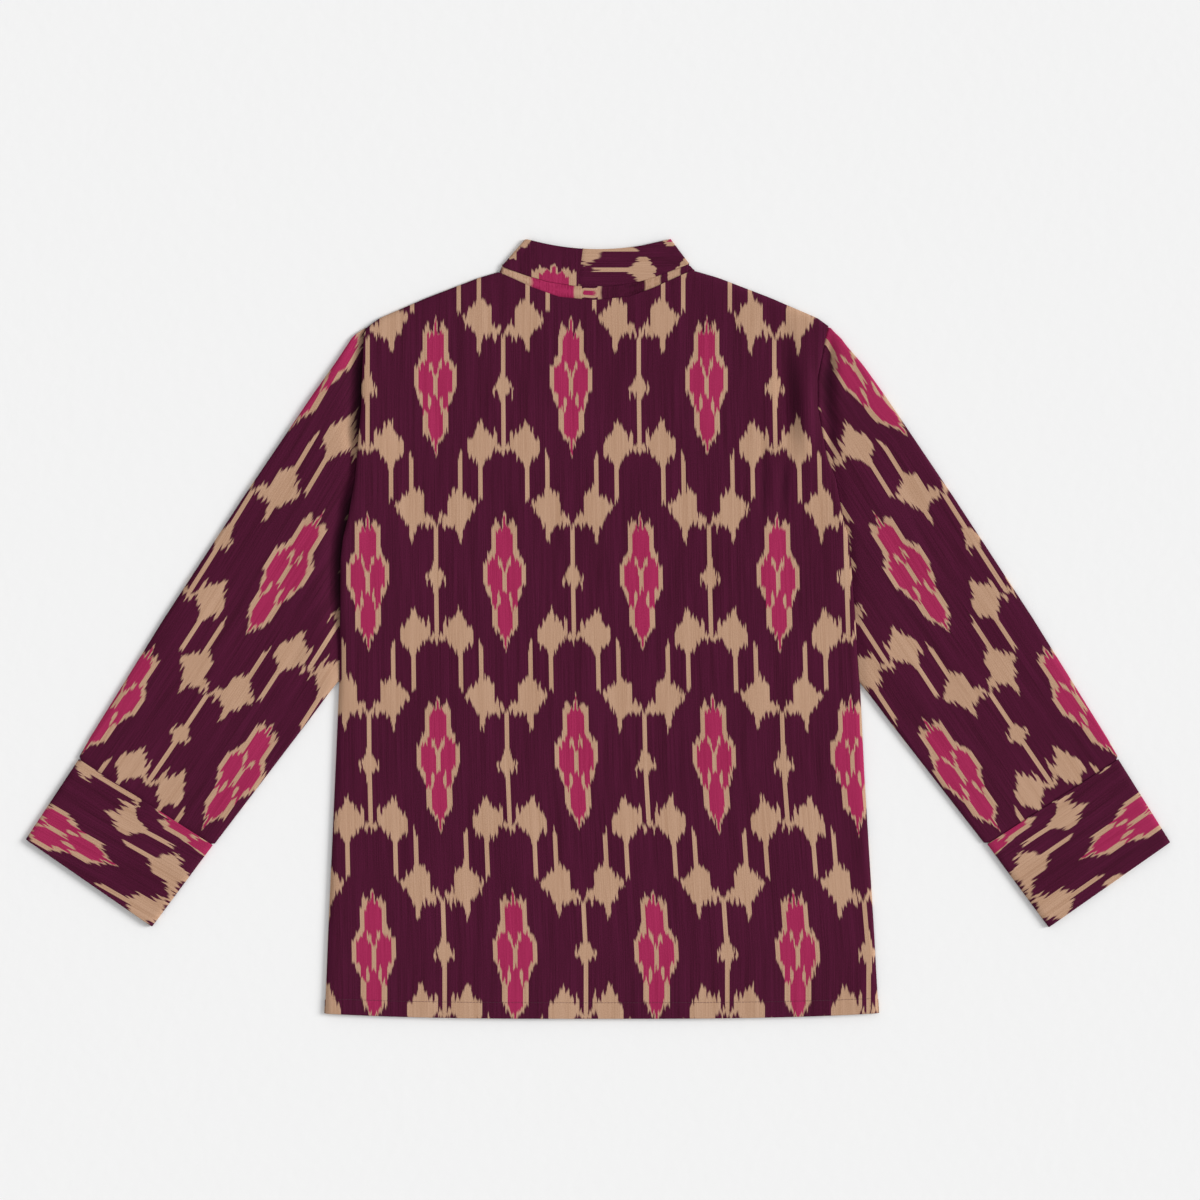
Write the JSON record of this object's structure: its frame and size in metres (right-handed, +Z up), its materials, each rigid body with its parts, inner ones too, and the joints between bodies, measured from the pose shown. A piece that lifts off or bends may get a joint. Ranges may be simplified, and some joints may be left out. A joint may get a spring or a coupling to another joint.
{
  "type": "kurta laid flat",
  "caption": "Short kurta in ikat cotton with long cuffed sleeves and a low standing collar, laid flat with its back up.",
  "frame": {"origin": "on the table, under the middle of the garment's outline", "axes": "+X across the garment from the left sleeve to the right sleeve as seen from above, +Y from the hem to the collar, +Z up from the table, out of the back panel"},
  "size_m": [1.1434, 0.7798, 0.0059],
  "materials": {
    "ikat_cotton": "matte",
    "ikat_cotton_cross_grain": "matte"
  },
  "bodies": {
    "root": {"back": "ikat_cotton", "front": "ikat_cotton", "placket_upper": "ikat_cotton", "placket_under": "ikat_cotton", "sleeve_left": "ikat_cotton", "sleeve_right": "ikat_cotton", "cuff_left": "ikat_cotton_cross_grain", "cuff_right": "ikat_cotton_cross_grain", "collar_left": "ikat_cotton_cross_grain", "collar_right": "ikat_cotton_cross_grain", "neck_strip": "ikat_cotton_cross_grain"}
  },
  "joints": []
}
